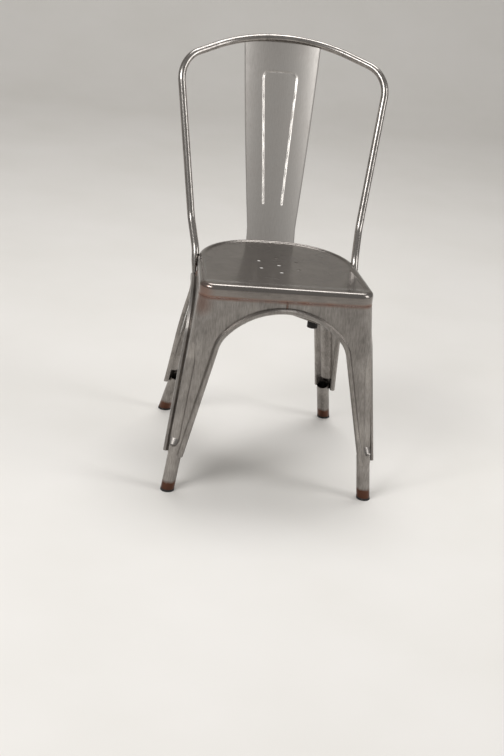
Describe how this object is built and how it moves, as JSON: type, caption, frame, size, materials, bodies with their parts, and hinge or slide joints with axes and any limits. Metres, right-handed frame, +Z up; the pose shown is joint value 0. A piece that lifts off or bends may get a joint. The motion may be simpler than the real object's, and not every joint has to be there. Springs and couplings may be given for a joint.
{
  "type": "metal bistro chair",
  "caption": "Stacking metal side chair: pressed seat on flared sheet legs with rolled arch edges, bent tube back hoop and a hollow sheet splat.",
  "frame": {"origin": "on the floor, at the middle of the chair's width and depth", "axes": "+Z up, +Y towards the back of the chair, so a sitter faces -Y; +X is the viewer's right seen from the front"},
  "size_m": [0.455, 0.5132, 0.8665],
  "materials": {
    "seat_steel": "raw steel under a clear gloss lacquer",
    "leg_steel": "raw steel under a clear lacquer",
    "hoop_steel": "raw steel tube under a clear lacquer",
    "splat_steel": "raw steel under a clear lacquer",
    "foot_steel": "raw steel tube, heat tinted at its end",
    "glide_rubber": "black rubber",
    "pad_rubber": "black rubber",
    "weld_steel": "weld metal, heat tinted",
    "brace_steel": "flat steel bar"
  },
  "bodies": {
    "root": {"back_hoop": "hoop_steel", "back_splat": "splat_steel", "brace_bar_front_left": "brace_steel", "brace_bar_front_right": "brace_steel", "brace_rivet": "brace_steel", "foot_tube_front_left": "foot_steel", "foot_tube_front_right": "foot_steel", "foot_tube_rear_left": "foot_steel", "foot_tube_rear_right": "foot_steel", "glide_front_left": "glide_rubber", "glide_front_right": "glide_rubber", "glide_rear_left": "glide_rubber", "glide_rear_right": "glide_rubber", "leg_front_left": "leg_steel", "leg_front_right": "leg_steel", "leg_rear_left": "leg_steel", "leg_rear_right": "leg_steel", "seat_pan": "seat_steel", "stacking_pad_front_left": "pad_rubber", "stacking_pad_front_right": "pad_rubber", "stacking_pad_rear_left": "pad_rubber", "stacking_pad_rear_right": "pad_rubber", "weld_front": "weld_steel", "weld_left": "weld_steel", "weld_rear": "weld_steel", "weld_right": "weld_steel"}
  },
  "joints": []
}
